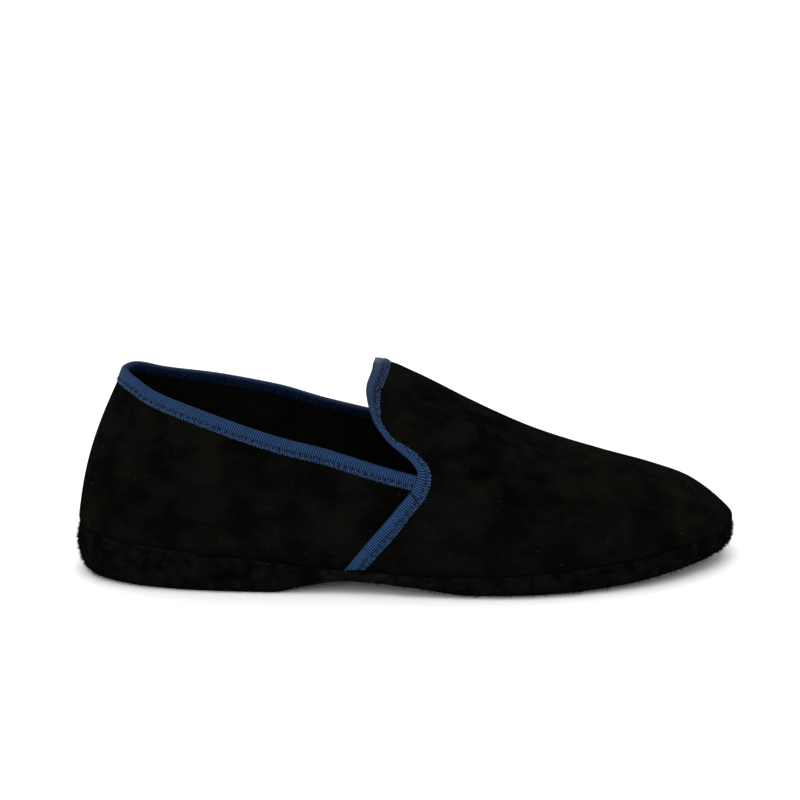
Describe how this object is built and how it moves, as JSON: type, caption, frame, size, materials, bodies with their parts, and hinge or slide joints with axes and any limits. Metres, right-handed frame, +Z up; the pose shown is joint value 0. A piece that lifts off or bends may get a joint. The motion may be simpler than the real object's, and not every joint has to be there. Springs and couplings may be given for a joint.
{
  "type": "slipper",
  "caption": "Low-cut right suede slipper with a front panel lapped over the quarters, blue ribbed ribbon on its edges, a padded insole, a soft sole and a covered wedge heel.",
  "frame": {"origin": "on the floor, under the middle of the slipper's bounding box", "axes": "+X from heel to toe, +Y to the inner side of the foot, +Z up"},
  "size_m": [0.291, 0.0974, 0.0939],
  "materials": {
    "upper_suede": "near-black suede with a soft short nap",
    "ribbon": "blue ribbed grosgrain ribbon with a faint sheen",
    "lining": "matt black lining cloth",
    "sole_suede": "rough black suede with raised hairs along the edge"
  },
  "bodies": {
    "root": {"upper": "upper_suede", "topline_binding": "ribbon", "vamp_binding": "ribbon", "insole": "lining", "outsole": "sole_suede", "heel": "sole_suede"}
  },
  "joints": []
}
